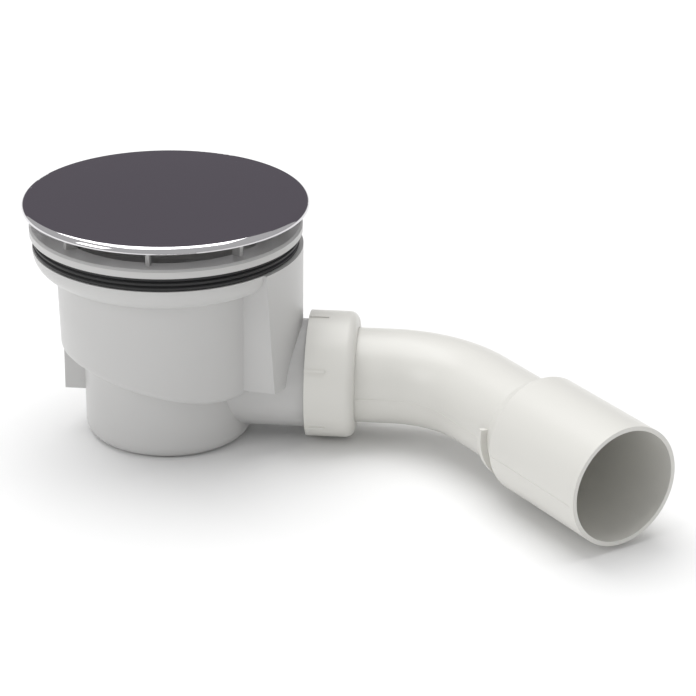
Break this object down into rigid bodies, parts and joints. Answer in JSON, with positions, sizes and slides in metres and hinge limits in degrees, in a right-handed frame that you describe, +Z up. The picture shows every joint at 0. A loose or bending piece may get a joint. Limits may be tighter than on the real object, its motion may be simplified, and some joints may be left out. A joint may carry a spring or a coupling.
{
  "type": "shower trap",
  "caption": "Low shower trap for a 90 mm tray hole: white cup body with sump, clamped flange on a black seal, domed chrome cover, union nut and bent outlet pipe with a widened end.",
  "frame": {"origin": "centre of the sump's flat underside, at floor level", "axes": "+Z up along the trap's axis, +X along the outlet branch, the outlet pipe bends towards -Y"},
  "size_m": [0.2706, 0.169, 0.1072],
  "materials": {
    "white_plastic": "moulded white plastic, semi-gloss",
    "chrome": "bright chrome plate",
    "black_rubber": "matt black rubber"
  },
  "bodies": {
    "root": {"trap_body": "white_plastic", "profile_seal": "black_rubber", "flange_ring": "white_plastic", "dip_tube": "white_plastic", "dip_tube_seal": "black_rubber", "cover_cap": "chrome", "union_nut": "white_plastic", "slip_ring": "white_plastic", "pipe_seal": "black_rubber", "outlet_bend": "white_plastic"}
  },
  "joints": []
}
